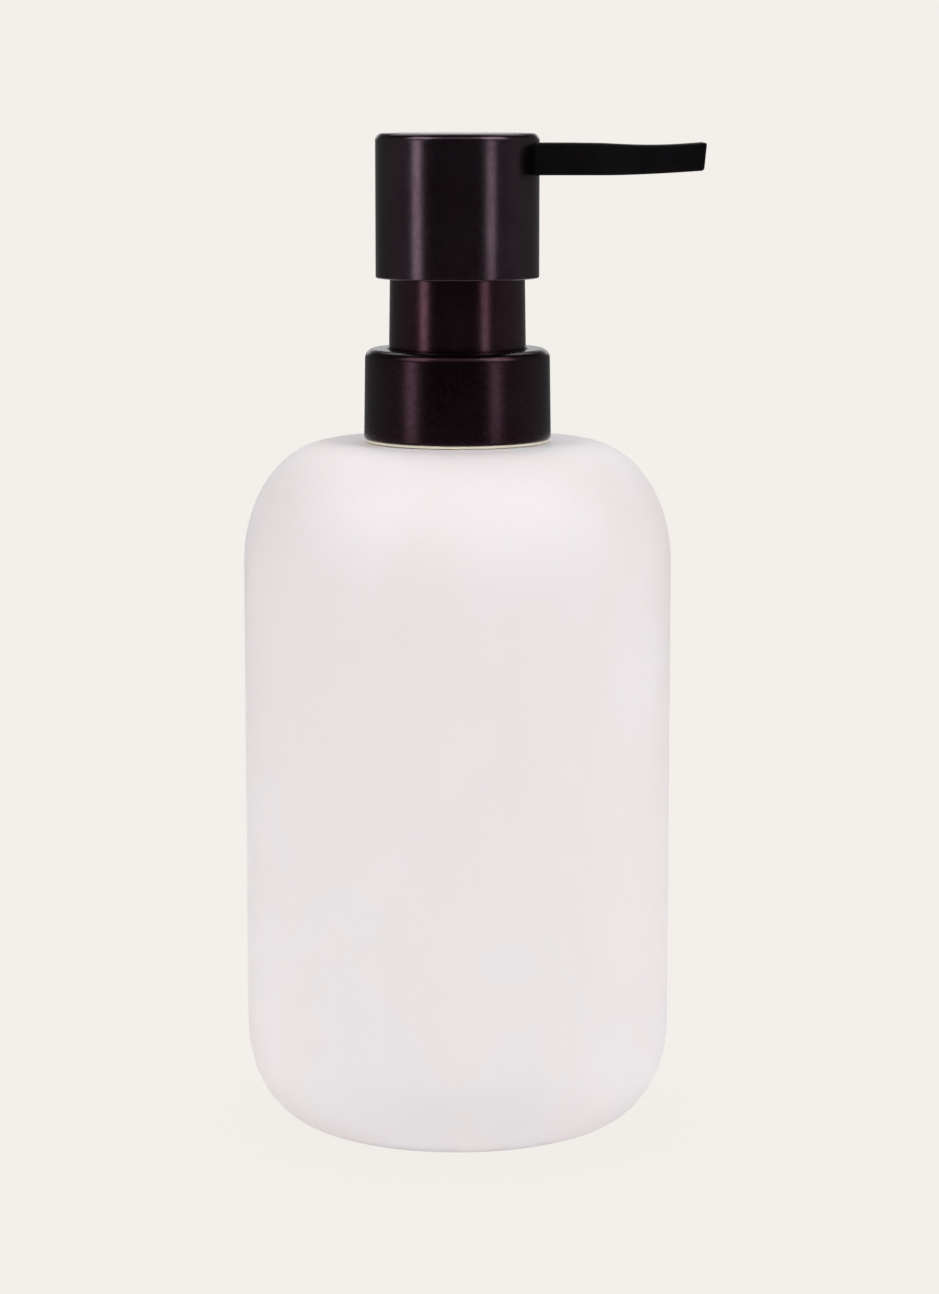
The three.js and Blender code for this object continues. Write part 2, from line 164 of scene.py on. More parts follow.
def turned(name, profile, sides=MEDIUM, relief=None):
    """Turns a closed profile of (radius, height) round Z. A point on the axis becomes one vertex.
    relief(angle, r, z) may move a point's radius and height."""
    bm = bmesh.new()
    rings = []
    for r, z in profile:
        if same(r, 0):
            rings.append([bm.verts.new((0, 0, z))])
            continue
        ring = []
        for a in angles_round(sides):
            moved_r, moved_z = relief(a, r, z) if relief else (r, z)
            ring.append(bm.verts.new((moved_r * math.cos(a), moved_r * math.sin(a), moved_z)))
        rings.append(ring)
    for i, lower in enumerate(rings):
        upper = rings[(i + 1) % len(rings)]
        if len(lower) == 1 and len(upper) == 1:
            continue
        for k in range(sides):
            n = (k + 1) % sides
            below = [lower[k % len(lower)], lower[n % len(lower)]]
            above = [upper[n % len(upper)], upper[k % len(upper)]]
            without_repeats = list(dict.fromkeys(below + above))
            bm.faces.new(without_repeats)
    return mesh_object(name, bm)


def tube_along(name, points, radius, sides):
    """A closed round tube through points that wind round Z."""
    bm = bmesh.new()
    rings = []
    for i, p in enumerate(points):
        ahead = points[min(i + 1, len(points) - 1)]
        behind = points[max(i - 1, 0)]
        along = (ahead - behind).normalized()
        out = Vector((p.x, p.y, 0)).normalized()
        out = (out - along * out.dot(along)).normalized()
        side = along.cross(out)
        places = [p + radius * (out * math.cos(a) + side * math.sin(a)) for a in angles_round(sides)]
        rings.append([bm.verts.new(place) for place in places])
    skin(bm, rings)
    return mesh_object(name, bm)


def rounded_block(name, low, high, edge, segments=3):
    """A box with rounded edges."""
    bm = bmesh.new()
    bmesh.ops.create_cube(bm, size=1)
    size = Vector(high) - Vector(low)
    centre = (Vector(high) + Vector(low)) / 2
    for v in bm.verts:
        v.co = Vector(a * b for a, b in zip(v.co, size)) + centre
    bmesh.ops.bevel(bm, geom=bm.edges[:], offset=edge, segments=segments, profile=0.5, affect="EDGES")
    return mesh_object(name, bm)


def rod_along_x(name, x0, x1, z, radius, sides=32):
    """A closed round rod along X, used as a cutter."""
    bm = bmesh.new()
    circle = [(radius * math.cos(a), z + radius * math.sin(a)) for a in angles_round(sides)]
    skin(bm, [[bm.verts.new((x, *place)) for place in circle] for x in (x0, x1)])
    return mesh_object(name, bm)


def baked(obj):
    """Applies the object's modifiers to its mesh."""
    graph = bpy.context.evaluated_depsgraph_get()
    mesh = bpy.data.meshes.new_from_object(obj.evaluated_get(graph))
    obj.modifiers.clear()
    obj.data = mesh
    smooth(obj)
    return obj


def combined(obj, other, operation):
    """Joins the other object to this one, or cuts it out, and removes the other."""
    modifier = obj.modifiers.new(operation.lower(), "BOOLEAN")
    modifier.operation = operation
    modifier.solver = "EXACT"
    modifier.object = other
    baked(obj)
    bpy.data.objects.remove(other)
    return obj


def cut(obj, *tools):
    for tool in tools:
        combined(obj, tool, "DIFFERENCE")
    return obj


# ---------------------------------------------------------------- material helpers

# The sockets of a colour Mix node.
MIX_SHARE, MIX_A, MIX_B, MIX_RESULT = 0, 6, 7, 2


class Tree:
    """A node tree, with short ways to add to it."""

    def __init__(self, tree):
        self.tree = tree

    def add(self, kind, *outputs):
        """A new node, with its first sockets linked to the outputs of other nodes."""
        node = self.tree.nodes.new(kind)
        for socket, output in zip(node.inputs, outputs):
            self.tree.links.new(output, socket)
        return node

    def feed(self, pairs):
        """Gives each socket its number, colour or vector, or links it to another node's output."""
        for socket, value in pairs:
            if isinstance(value, bpy.types.NodeSocket):
                self.tree.links.new(value, socket)
            elif isinstance(value, tuple):
                socket.default_value = (*value, 1)
            else:
                socket.default_value = value

    def math(self, operation, *values):
        node = self.tree.nodes.new("ShaderNodeMath")
        node.operation = operation
        self.feed(zip(node.inputs, values))
        return node.outputs[0]

    def mix(self, share, a, b):
        node = self.tree.nodes.new("ShaderNodeMix")
        node.data_type = "RGBA"
        self.feed(((node.inputs[MIX_SHARE], share), (node.inputs[MIX_A], a), (node.inputs[MIX_B], b)))
        return node.outputs[MIX_RESULT]


class Finish(Tree):
    """A material made with one Principled shader, in the object's own coordinates."""

    def __init__(self, name):
        self.material = bpy.data.materials.new(name)
        self.material.use_nodes = True
        super().__init__(self.material.node_tree)
        self.shader = self.tree.nodes["Principled BSDF"]
        self.place = self.add("ShaderNodeTexCoord").outputs["Object"]

    def set(self, **values):
        for name, value in values.items():
            self.shader.inputs[name.replace("_", " ")].default_value = value

    def link(self, output, name):
        self.tree.links.new(output, self.shader.inputs[name])

    def stretched(self, x, y, z, offset=(0, 0, 0)):
        node = self.add("ShaderNodeMapping", self.place)
        node.inputs["Scale"].default_value = (x, y, z)
        node.inputs["Location"].default_value = offset
        return node.outputs["Vector"]

    def noise(self, scale, detail=2, distortion=0, vector=None):
        node = self.add("ShaderNodeTexNoise", vector or self.place)
        node.inputs["Scale"].default_value = scale
        node.inputs["Detail"].default_value = detail
        node.inputs["Distortion"].default_value = distortion
        return node.outputs["Fac"]

    def spread(self, value, low, high, to_low=0, to_high=1):
        """Maps value from low..high to to_low..to_high, with soft ends."""
        node = self.add("ShaderNodeMapRange", value)
        node.interpolation_type = "SMOOTHSTEP"
        ends = {"From Min": low, "From Max": high, "To Min": to_low, "To Max": to_high}
        for socket, number in ends.items():
            node.inputs[socket].default_value = number
        return node.outputs["Result"]

    def near(self, centre, reach):
        """1 at a point of the object, fading to 0 at a distance from it."""
        node = self.add("ShaderNodeVectorMath", self.place)
        node.operation = "DISTANCE"
        node.inputs[1].default_value = centre
        return self.spread(node.outputs["Value"], 0, reach, 1, 0)

    def bump(self, height, strength, distance):
        node = self.tree.nodes.new("ShaderNodeBump")
        node.inputs["Strength"].default_value = strength
        node.inputs["Distance"].default_value = distance
        self.tree.links.new(height, node.inputs["Height"])
        self.link(node.outputs["Normal"], "Normal")


# ---------------------------------------------------------------- finishes

# Where the stone's clouds gather or thin out: share of the radius to the right, share of the height, reach in
# millimetres, and how much is added there to the cloudy noise.
STONE_RADIUS, STONE_HEIGHT = radius_of("bottle_body"), top_of("bottle_body")
PALE_CLOUDS = (
    (0.35, 0.89, 20, 0.15),
    (0.60, 0.85, 14, 0.10),
    (0.05, 0.84, 12, 0.08),
    (-0.45, 0.885, 10, 0.12),
    (-0.45, 0.58, 26, -0.20),
    (0.30, 0.60, 26, -0.20),
    (0.85, 0.45, 30, -0.25),
    (-0.80, 0.45, 24, -0.20),
    (0.00, 0.10, 40, -0.30),
)
GREY_CLOUDS = (
    (-0.02, 0.335, 9, 0.13),
    (0.20, 0.31, 9, 0.12),
    (-0.58, 0.22, 12, 0.16),
    (-0.38, 0.15, 12, 0.16),
    (-0.10, 0.09, 12, 0.14),
    (0.24, 0.13, 12, 0.13),
    (0.50, 0.36, 7, 0.08),
    (-0.45, 0.62, 30, -0.20),
    (0.45, 0.66, 34, -0.20),
    (0.85, 0.30, 18, -0.16),
    (-0.85, 0.84, 20, -0.25),
)
WARM_PATCHES = (
    (-0.65, 0.70, 18, 0.12),
    (0.62, 0.66, 14, 0.10),
    (0.92, 0.33, 16, 0.16),
    (0.00, 0.40, 24, -0.12),
    (-0.45, 0.88, 14, -0.15),
)
ROSY_PATCHES = (
    (-0.85, 0.40, 16, 0.14),
    (0.75, 0.15, 16, 0.16),
)


def stone_finish():
    """Pale pink marble-effect casting with soft lilac-white clouds and faint upright streaks."""
    m = Finish("stone")
    pink = (0.822, 0.756, 0.762)
    pale = (0.830, 0.781, 0.800)
    grey = (0.797, 0.768, 0.780)
    cream = (0.812, 0.764, 0.744)
    deep = (0.790, 0.712, 0.728)

    def patches(places, scale, detail, upright, offset):
        """Cloudy noise, pushed up or down at places on the front of the bottle."""
        total = m.noise(scale, detail, distortion=0.6, vector=m.stretched(1, 1, upright, offset))
        for across, height, reach, push in places:
            forward = math.sqrt(1 - across * across)
            centre = (across * STONE_RADIUS, -forward * STONE_RADIUS, height * STONE_HEIGHT)
            total = m.math("ADD", total, m.math("MULTIPLY", m.near(centre, reach * MM), push))
        return total

    pale_clouds = patches(PALE_CLOUDS, scale=26, detail=5, upright=0.8, offset=(0.013, 0.02, 0.04))
    grey_clouds = patches(GREY_CLOUDS, scale=38, detail=5, upright=0.8, offset=(0.05, 0.33, 0.14))
    warm_patches = patches(WARM_PATCHES, scale=22, detail=4, upright=1, offset=(0.31, 0.12, 0.07))
    rosy_patches = patches(ROSY_PATCHES, scale=34, detail=4, upright=0.7, offset=(0.07, 0.42, 0.21))
    upright_lines = m.noise(1, 3, distortion=0.2, vector=m.stretched(210, 210, 12))
    grain = m.noise(1500, 2)
    colour = m.mix(m.spread(rosy_patches, 0.52, 0.74, to_high=0.5), pink, deep)
    colour = m.mix(m.spread(warm_patches, 0.50, 0.70, to_high=0.9), colour, cream)
    colour = m.mix(m.spread(grey_clouds, 0.51, 0.64), colour, grey)
    colour = m.mix(m.spread(pale_clouds, 0.49, 0.66), colour, pale)
    colour = m.mix(m.spread(upright_lines, 0.35, 0.75, to_high=0.25), colour, pale)
    colour = m.mix(m.spread(grain, 0.3, 0.8, to_high=0.06), colour, deep)
    m.link(colour, "Base Color")
    m.link(m.spread(m.noise(60, 4), 0.3, 0.7, 0.46, 0.56), "Roughness")
    m.bump(m.noise(420, 4), strength=0.12, distance=0.0002)
    m.set(IOR=1.5, Specular_IOR_Level=0.35, Subsurface_Weight=0.18, Subsurface_Scale=0.004,
          Subsurface_Radius=(1.0, 0.7, 0.65))
    return m.material


def plum_finish(name, colour, dusty, roughness):
    """Satin dyed metal: fine blasted grain, faint mottling of the dye and slightly uneven gloss."""
    m = Finish(name)
    uneven = 0.025
    mottle = m.spread(m.noise(900, 4, distortion=0.3), 0.35, 0.70)
    drift = m.spread(m.noise(90, 3), 0.35, 0.65, to_high=0.35)
    darker = tuple(c * 0.80 for c in colour)
    base = m.mix(mottle, colour, darker)
    base = m.mix(drift, base, dusty)
    m.link(base, "Base Color")
    m.link(m.spread(m.noise(1400, 3), 0.3, 0.7, roughness - uneven, roughness + uneven), "Roughness")
    m.bump(m.noise(5200, 3), strength=0.045, distance=0.000010)
    m.set(Metallic=1.0)
    return m.material


def plastic_finish(name, colour, roughness, gloss=0.5, through=0.0):
    """Moulded plastic: fine spark-eroded grain and a faint drift of colour."""
    m = Finish(name)
    grain, uneven = 2200, 0.05
    lighter = tuple(min(1, c * 1.12 + 0.002) for c in colour)
    m.link(m.mix(m.spread(m.noise(120, 3), 0.3, 0.7), colour, lighter), "Base Color")
    m.link(m.spread(m.noise(grain / 2, 2), 0.3, 0.7, roughness - uneven, roughness + uneven), "Roughness")
    m.bump(m.noise(grain, 2), strength=0.25, distance=0.00003)
    m.set(Specular_IOR_Level=gloss, Subsurface_Weight=through, Subsurface_Scale=0.002)
    return m.material


def foam_finish():
    """Closed-cell foam with its small cut bubbles."""
    m = Finish("foam")
    pore, skin_between = (0.30, 0.29, 0.28), (0.62, 0.60, 0.58)
    cells = m.add("ShaderNodeTexVoronoi", m.place)
    cells.inputs["Scale"].default_value = 1600
    m.link(m.mix(m.spread(cells.outputs["Distance"], 0, 0.7), pore, skin_between), "Base Color")
    m.link(m.spread(m.noise(300, 2), 0.3, 0.7, 0.85, 0.97), "Roughness")
    m.bump(cells.outputs["Distance"], strength=0.5, distance=0.0002)
    m.set(Specular_IOR_Level=0.25)
    return m.material


def steel_finish():
    """Drawn stainless wire, with fine lines and a soft gleam."""
    m = Finish("steel")
    dull, bright = (0.46, 0.47, 0.49), (0.62, 0.63, 0.65)
    lines = m.noise(1, 3, vector=m.stretched(2600, 2600, 500))
    m.link(m.mix(m.spread(lines, 0.3, 0.7), dull, bright), "Base Color")
    m.link(m.spread(lines, 0.3, 0.7, 0.22, 0.38), "Roughness")
    m.bump(lines, strength=0.1, distance=0.00003)
    m.set(Metallic=1.0)
    return m.material


STONE = stone_finish()
HEAD_PLUM = plum_finish("head_plum", (0.044, 0.0285, 0.036), (0.0545, 0.0405, 0.0485), 0.215)
SLEEVE_PLUM = plum_finish("sleeve_plum", (0.0364, 0.0167, 0.0234), (0.0442, 0.026, 0.0325), 0.225)
# The collar has the sleeve's red plum tint. Both its colours are made darker still as painted shade, for the
# weaker light on the lowest shell.
COLLAR_PLUM_SHADED = plum_finish("collar_plum_shaded", (0.0245, 0.0123, 0.0168), (0.0296, 0.0182, 0.0228), 0.26)
BLACK = plastic_finish("black_plastic", (0.0016, 0.0011, 0.0016), 0.50, gloss=0.05)
INNER = plastic_finish("inner_plastic", (0.012, 0.011, 0.012), 0.45)
CREAM = plastic_finish("cream_plastic", (0.80, 0.72, 0.58), 0.45, gloss=0.4, through=0.1)
NATURAL = plastic_finish("natural_plastic", (0.78, 0.79, 0.80), 0.32, through=0.3)
FOAM = foam_finish()
STEEL = steel_finish()


def dressed(obj, material, body, slot, *nodes):
    """Gives a piece its finish and body, and hides the CAD nodes it stands for. The slot is not used."""
    obj.data.materials.clear()
    obj.data.materials.append(material)
    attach(obj, body)
    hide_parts(*nodes)
    return obj


# ---------------------------------------------------------------- bottle

LEDGE_WIDTH = 2.5 * MM         # the casting's ledge that the base disc is bonded up against


def bottle():
    radius, top, underside = radius_of("bottle_body"), top_of("bottle_body"), bottom_of("bottle_body")
    wall, top_wall = 6 * MM, 7 * MM
    shoulder_across, shoulder_up = 15.5 * MM, 21 * MM
    corner_across, corner_up = 12.5 * MM, 17.5 * MM
    floor_z, ledge_z = top_of("base_plug") + 0.5 * MM, 5.5 * MM
    opening = radius_of("base_plug") + 0.3 * MM
    ledge_r = opening - LEDGE_WIDTH
    mouth = 13.6 * MM
    foot_edge, lip = 0.4 * MM, 0.6 * MM
    r_shoulder, z_shoulder = radius - shoulder_across, top - shoulder_up
    r_corner, z_corner = radius - corner_across, underside + corner_up
    profile = [
        *corner_run((opening, ledge_z), (opening, underside, foot_edge), (r_corner, underside)),
        *quarter(r_corner, z_corner, corner_across, corner_up, -1, 0, steps=20),
        *quarter(r_shoulder, z_shoulder, shoulder_across, shoulder_up, 0, 1, steps=24),
        *corner_run((r_shoulder, top), (mouth, top, lip), (mouth, top - top_wall)),
        (mouth, top - top_wall),
        *quarter(r_shoulder, z_shoulder, shoulder_across - wall, shoulder_up - top_wall, 1, 0, steps=10),
        *quarter(r_corner, z_corner, corner_across - wall, z_corner - floor_z, 0, -1, steps=10),
        (ledge_r, floor_z),
        (ledge_r, ledge_z),
        (opening, ledge_z),
    ]
    return turned("stone_bottle", profile, FINE)


def base_disc():
    low, top, radius = bottom_of("base_plug"), top_of("base_plug"), radius_of("base_plug")
    step, inner = low + 3.2 * MM, radius - LEDGE_WIDTH
    edge = 0.4 * MM
    profile = filleted([
        (0, low), (radius, low, edge), (radius, step, edge), (inner, step), (inner, top, edge), (0, top),
    ])
    return turned("base_disc", profile)


def foot_pad():
    low, top, radius = bottom_of("base_pad"), top_of("base_pad"), radius_of("base_pad")
    low_edge, top_edge = 0.5 * MM, 0.3 * MM
    profile = filleted([(0, low), (radius, low, low_edge), (radius, top, top_edge), (0, top)])
    return turned("foot_pad", profile)


PITCH = 25.4 / 6 * MM
RUN_OUT = math.pi / 7          # how far round a rib takes to rise to its full height, and to fade
THREAD_STEP = 0.2 * MM         # between rings of a threaded wall
FLANK = 0.5 * MM


def thread_height(angle, z, start_angle, start_z, flat):
    """How much of a one-turn helical rib stands at this place, from 0 to 1."""
    travelled = (angle - start_angle) % (2 * math.pi)
    away = abs(z - (start_z + PITCH * travelled / (2 * math.pi)))
    share = min(1.0, max(0.0, (flat + FLANK - away) / FLANK))
    fade = min(1.0, travelled / RUN_OUT, (2 * math.pi - travelled) / RUN_OUT)
    return share * share * (3 - 2 * share) * fade


NECK_THREAD_Z = top_of("bottle_body") + 4.1 * MM


def neck_bush():
    low, top, flange_r = bottom_of("neck_insert"), top_of("neck_insert"), radius_of("neck_insert")
    seat = top_of("bottle_body") + GAP
    flange, skirt, root, bore = seat + 0.5 * MM, 13.3 * MM, 12.6 * MM, 9.9 * MM
    rib, rib_flat = 1.2 * MM, 0.45 * MM
    flange_edge, bore_edge = 0.15 * MM, 0.3 * MM
    lead, lead_across, tip = 0.8 * MM, 0.5 * MM, 0.1 * MM
    profile = [
        (bore, low), (skirt, low), (skirt, seat),
        *corner_run((skirt, seat), (flange_r, seat, flange_edge), (flange_r, flange, flange_edge),
                    (root, flange)),
        *stretch(root, flange, top - lead, THREAD_STEP),
        (root - lead_across, top - tip), (root - lead_across - 2 * tip, top),
        (bore + bore_edge, top), (bore, top - bore_edge),
    ]

    def relief(angle, r, z):
        if not same(r, root):
            return r, z
        return r + rib * thread_height(angle, z, 0, NECK_THREAD_Z, rib_flat), z

    return turned("neck_bush", profile, THREADED, relief)


# ---------------------------------------------------------------- closure

def threaded_cap():
    low, top, radius = bottom_of("closure_cap"), top_of("closure_cap"), radius_of("closure_cap")
    lip_low, wall, hole = top - 1.5 * MM, 14.1 * MM, 10.6 * MM
    rib, rib_flat = 1.1 * MM, 0.4 * MM
    below = 1.75 * MM          # the neck's rib stands this far above the cap's
    start_angle = math.pi / 2
    start_z = NECK_THREAD_Z - below + PITCH / 4
    edge, shoulder = 0.3 * MM, 0.6 * MM
    profile = [
        *corner_run((wall, low), (radius, low, edge), (radius, top, shoulder), (hole, top, edge),
                    (hole, lip_low, edge), (wall, lip_low)),
        *stretch(wall, lip_low, low, THREAD_STEP),
    ]

    def relief(angle, r, z):
        if not same(r, wall):
            return r, z
        return r - rib * thread_height(angle, z, start_angle, start_z, rib_flat), z

    return turned("threaded_cap", profile, THREADED, relief)


METAL_TAPER = 0.23 * MM        # the metal overlays narrow by this much towards their tops


def collar_overlay():
    low, top, radius = bottom_of("collar_shell"), top_of("collar_shell"), radius_of("collar_shell")
    inner, hole, roof = 15.4 * MM, 12.25 * MM, top - 0.7 * MM
    rolled, edge = 1.7 * MM, 0.3 * MM
    profile = filleted([
        (inner, low, 0.12 * MM), (radius, low, edge), (radius - METAL_TAPER, top, rolled),
        (hole, top, 0.25 * MM), (hole, roof, 0.1 * MM), (inner, roof, edge),
    ])
    return turned("collar_overlay", profile, FINE)


# ---------------------------------------------------------------- pump

def neck_ring_seal():
    low, top, radius = bottom_of("neck_gasket"), top_of("neck_gasket"), radius_of("neck_gasket")
    bore = 9.9 * MM
    edge = 0.2 * MM
    profile = filleted([(bore, low, edge), (radius, low, edge), (radius, top, edge), (bore, top, edge)])
    return turned("neck_ring_seal", profile)


def pump_cylinder():
    low, top, flange_r = bottom_of("pump_housing"), top_of("pump_housing"), radius_of("pump_housing")
    seat, body_r, bore = top - 1.4 * MM, 9.2 * MM, 8.2 * MM
    floor_z = bottom_of("ball_retainer") - GAP
    cone_top, cone_low, socket_top = floor_z - 4 * MM, floor_z - 6 * MM, floor_z - 8 * MM
    tail_r, socket_r, chamber_r, inlet_r = 5.4 * MM, 4.1 * MM, 3.6 * MM, 2 * MM
    edge, fine = 0.4 * MM, 0.2 * MM
    profile = filleted([
        (socket_r, low, 0.3 * MM), (tail_r, low, edge), (tail_r, cone_low, 1 * MM),
        (body_r, floor_z - MM, 1.5 * MM), (body_r, seat, 0.5 * MM), (flange_r, seat, fine),
        (flange_r, top, fine), (bore, top, edge), (bore, floor_z), (chamber_r, floor_z, fine),
        (chamber_r, cone_top), (inlet_r, cone_low, 0.1 * MM), (inlet_r, socket_top), (socket_r, socket_top),
    ])
    return turned("pump_cylinder", profile)


def stem_guide_tower():
    low, top, radius = bottom_of("chaplet"), top_of("chaplet"), radius_of("chaplet")
    waist_low = top_of("pump_housing") + GAP
    waist_top = waist_low + 1.8 * MM
    plug, plug_bore, waist, bore, guide = 8 * MM, 4.9 * MM, 10.2 * MM, 9.9 * MM, 4.25 * MM
    floor_z, roof = waist_top + 1.5 * MM, top - 1.8 * MM
    edge = 0.3 * MM
    profile = filleted([
        (plug_bore, low, edge), (plug, low, edge), (plug, waist_low), (waist, waist_low, edge),
        (waist, waist_top), (radius, waist_top, edge), (radius, top, edge), (guide, top, edge),
        (guide, roof, edge), (bore, roof), (bore, floor_z), (plug_bore, floor_z, edge),
    ])
    return turned("stem_guide_tower", profile)


def sleeve_overlay():
    low, top, radius = bottom_of("sleeve_shell"), top_of("sleeve_shell"), radius_of("sleeve_shell")
    inner, roof, hole = 11.4 * MM, top - 0.45 * MM, 9.4 * MM
    rolled, sharp = 0.6 * MM, 0.1 * MM
    profile = filleted([
        (inner, low, sharp), (radius, low, sharp), (radius - METAL_TAPER, top, rolled),
        (hole, top, 0.15 * MM), (hole, roof, sharp), (inner, roof, 0.2 * MM),
    ])
    return turned("sleeve_overlay", profile, FINE)


def soap_tube():
    low, top, radius = bottom_of("dip_tube"), top_of("dip_tube"), radius_of("dip_tube")
    bore = 3 * MM
    slope = math.tan(math.pi / 5)
    edge = 0.15 * MM
    middle = top - 50 * MM
    profile = filleted([
        (bore, low), (radius, low), (radius, middle), (radius, top, edge), (bore, top, edge), (bore, middle),
    ])

    def relief(angle, r, z):
        if not same(z, low):
            return r, z
        return r, low + (radius - r * math.cos(angle)) * slope

    return turned("soap_tube", profile, 64, relief)


def ball_cage():
    low, top, radius = bottom_of("ball_retainer"), top_of("ball_retainer"), radius_of("ball_retainer")
    disc_top, hole, rim_in, rim_out = low + 1.5 * MM, 2.2 * MM, 5.4 * MM, 6.6 * MM
    slot_half, slot_reach = 0.5 * MM, 3.4 * MM
    edge = 0.2 * MM
    profile = filleted([
        (hole, low, edge), (radius, low, edge), (radius, disc_top, edge), (rim_out, disc_top),
        (rim_out, top, edge), (rim_in, top, edge), (rim_in, disc_top), (hole, disc_top, edge),
    ])
    slots = [rounded_block("slot", (-x, -y, low - MM), (x, y, top + MM), edge)
             for x, y in ((slot_reach, slot_half), (slot_half, slot_reach))]
    return cut(turned("ball_cage", profile), *slots)


def inlet_ball():
    low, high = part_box("check_ball")
    radius, middle = (high.z - low.z) / 2, (high.z + low.z) / 2
    half_circle = quarter(0, middle, radius, radius, -1, 1, steps=24)
    return turned("inlet_ball", half_circle, 48)


def coil_spring():
    low, top = bottom_of("return_spring"), top_of("return_spring")
    wire, turns, mean, closed_pitch = 0.45 * MM, 8, 4.55 * MM, 1.05 * MM
    steps, wire_sides = 40, 14
    length = top - low - 2 * wire
    open_pitch = (length - 2 * closed_pitch) / (turns - 2)
    points = []
    for k in range(turns * steps + 1):
        turn = k / steps
        closed = min(turn, 1) + max(turn - (turns - 1), 0)
        z = low + wire + closed_pitch * closed + open_pitch * (turn - closed)
        a = 2 * math.pi * turn
        points.append(Vector((mean * math.cos(a), mean * math.sin(a), z)))
    return tube_along("coil_spring", points, wire, wire_sides)


# ---------------------------------------------------------------- moving core and head

def push_rod():
    low, top, seat_r = bottom_of("valve_rod"), top_of("valve_rod"), radius_of("valve_rod")
    seat_low = low + 4.2 * MM
    seat_top = seat_low + 1.4 * MM
    boss, shaft, shank, core = 3.9 * MM, 2.9 * MM, 2.35 * MM, 1.5 * MM
    shaft_top, grooves_from = bottom_of("stem") - GAP, seat_top + 1.6 * MM
    groove_half = 0.7 * MM
    lead, edge, chamfer = 0.8 * MM, 0.3 * MM, 0.4 * MM
    shaft_step, shank_step = 0.3 * MM, 0.6 * MM
    profile = [
        *filleted([(0, low), (boss, low, lead), (boss, seat_low), (seat_r, seat_low, edge),
                   (seat_r, seat_top, edge), (shaft, seat_top)]),
        *stretch(shaft, grooves_from - shaft_step, shaft_top, shaft_step),
        *stretch(shank, shaft_top, top - chamfer, shank_step),
        (shank - chamfer, top),
        (0, top),
    ]

    def relief(angle, r, z):
        if z < grooves_from or r < core:
            return r, z
        quadrant = (angle + math.pi / 4) % (math.pi / 2) - math.pi / 4
        return (core if abs(r * math.sin(quadrant)) < groove_half else r), z

    return turned("push_rod", profile, MEDIUM, relief)


def piston_seal():
    low, top, lip = bottom_of("piston"), top_of("piston"), radius_of("piston")
    hub_bore, hub_r, inner, outer = 3.3 * MM, 4.6 * MM, 7 * MM, 7.7 * MM
    skirt, hub_top = 2.2 * MM, low + 5.1 * MM
    web_low = low + skirt
    web_top = web_low + 1.4 * MM
    across, up = 0.7 * MM, 0.6 * MM        # the slanted end of each lip
    edge, root, soft = 0.25 * MM, 0.3 * MM, 0.6 * MM
    profile = filleted([
        (inner, low, edge), (lip - across, low, edge), (lip, low + up, edge), (outer, web_low, soft),
        (outer, top - skirt, soft), (lip, top - up, edge), (lip - across, top, edge), (inner, top, edge),
        (inner, web_top, root), (hub_r, web_top, root), (hub_r, hub_top, edge), (hub_bore, hub_top, edge),
        (hub_bore, low, edge), (hub_r, low, edge), (hub_r, web_low, root), (inner, web_low, root),
    ])
    return turned("piston_seal", profile)


def hollow_stem():
    low, top, radius = bottom_of("stem"), top_of("stem"), radius_of("stem")
    bore = 2.5 * MM
    edge = 0.3 * MM
    profile = filleted([(bore, low, edge), (radius, low, edge), (radius, top, edge), (bore, top, edge)])
    return turned("hollow_stem", profile, 64)


SPOUT_LOW, SPOUT_HIGH = 167.8 * MM, 173.2 * MM  # its lower and upper edge where it leaves the head
SPOUT_TIP_TOP = top_of("spout")
SPOUT_ROOT, SPOUT_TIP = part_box("spout")[0].x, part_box("spout")[1].x
SPOUT_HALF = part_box("spout")[1].y
SPOUT_BORE_Z, SPOUT_BORE = 170.8 * MM, 1.2 * MM
PAST = 2 * MM                                  # cutters run this far past what they cut


def room_for_spout(name, from_x, past_x, gap, edge):
    """A cutter for the opening that the spout passes through."""
    low = (from_x, -SPOUT_HALF - gap, SPOUT_LOW - gap)
    high = (past_x + PAST, SPOUT_HALF + gap, SPOUT_HIGH + gap)
    return rounded_block(name, low, high, edge)


def head_core():
    radius, top, low = radius_of("actuator"), top_of("actuator"), bottom_of("actuator")
    rim_low, socket_top, passage_top, deck = 166 * MM, 169.5 * MM, 171.9 * MM, top - 1.5 * MM
    hub, socket, passage, rim_in = 6.2 * MM, 4.1 * MM, 2.4 * MM, 12.2 * MM
    block_reach, block_half, block_low, embed = 11.5 * MM, 6.5 * MM, 166.8 * MM, 0.5 * MM
    gap, edge = 0.25 * MM, 0.3 * MM
    core = turned("head_core", filleted([
        (0, passage_top), (passage, passage_top, edge), (passage, socket_top), (socket, socket_top),
        (socket, low, edge), (hub, low, edge), (hub, deck, edge), (rim_in, deck, edge),
        (rim_in, rim_low, edge), (radius, rim_low, edge), (radius, top, edge), (0, top),
    ]))
    block_from = (hub - embed, -block_half, block_low)
    block_to = (block_reach, block_half, top - embed)
    combined(core, rounded_block("block", block_from, block_to, edge), "UNION")
    return cut(
        core,
        room_for_spout("socket", SPOUT_ROOT - gap, radius, gap, edge),
        rod_along_x("passage", 0, SPOUT_ROOT + MM, SPOUT_BORE_Z, SPOUT_BORE),
    )


def head_overlay():
    low, top, radius = bottom_of("head_shell"), top_of("head_shell"), radius_of("head_shell")
    inner, roof = 13.6 * MM, top - 0.65 * MM
    rolled, edge, sharp = 1.2 * MM, 0.3 * MM, 0.12 * MM
    shell = turned("head_overlay", filleted([
        (0, roof), (inner, roof, 0.6 * MM), (inner, low, sharp), (radius, low, edge), (radius, top, rolled),
        (0, top),
    ]), FINE)
    return cut(shell, room_for_spout("window", inner / 2, radius, gap=0.12 * MM, edge=0.5 * MM))


